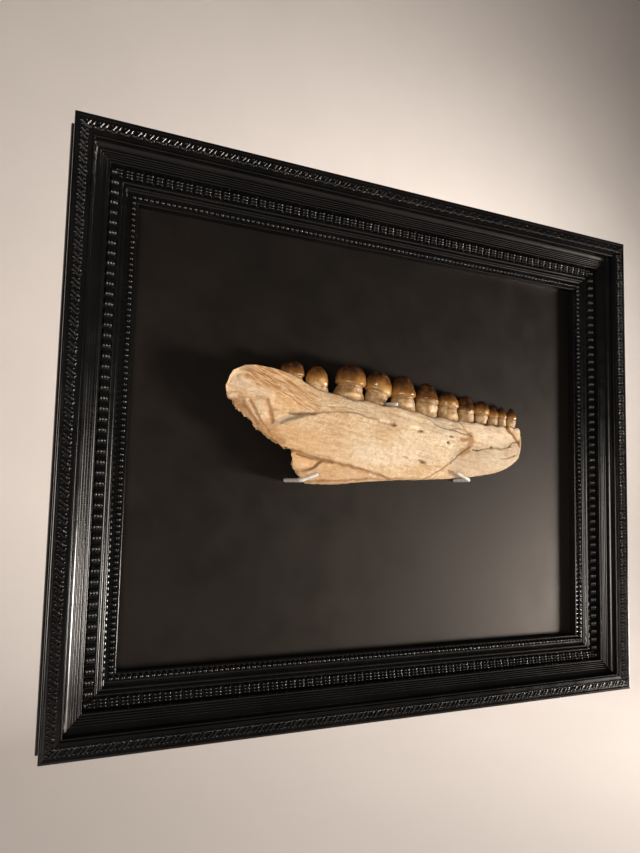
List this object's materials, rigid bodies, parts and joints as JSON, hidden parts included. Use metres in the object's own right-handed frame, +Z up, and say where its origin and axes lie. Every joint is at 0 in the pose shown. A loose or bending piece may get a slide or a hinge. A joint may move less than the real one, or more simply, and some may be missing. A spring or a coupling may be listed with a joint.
{
  "type": "framed fossil mosasaur jaw",
  "caption": "Fossil lower jaw of a blunt-toothed mosasaur, held by metal pins on a black panel in a deep moulded black picture frame that hangs on a wall.",
  "frame": {"origin": "middle of the frame's flat back, in the plane of the wall it hangs on", "axes": "+X along the jaw towards its front end, +Y out of the back into the wall, +Z up"},
  "size_m": [0.549, 0.0427, 0.449],
  "materials": {
    "frame_black": "satin black lacquer over moulded ornament",
    "panel_black": "matt black paint with a faint sheen",
    "back_board": "brown backing paper on board",
    "fossil_bone": "dry cream to tan fossil bone with brown streaks and glued cracks",
    "tooth_enamel": "glossy brown fossil enamel",
    "pin_metal": "pale grey sleeved wire"
  },
  "bodies": {
    "root": {"frame_rail_top": "frame_black", "frame_rail_bottom": "frame_black", "frame_rail_left": "frame_black", "frame_rail_right": "frame_black", "backing_panel": "panel_black", "back_board": "back_board", "dentary_rear": "fossil_bone", "dentary_front": "fossil_bone", "splenial": "fossil_bone", "pin_lower_rear": "pin_metal", "pin_lower_front": "pin_metal", "pin_upper": "pin_metal"}
  },
  "joints": []
}
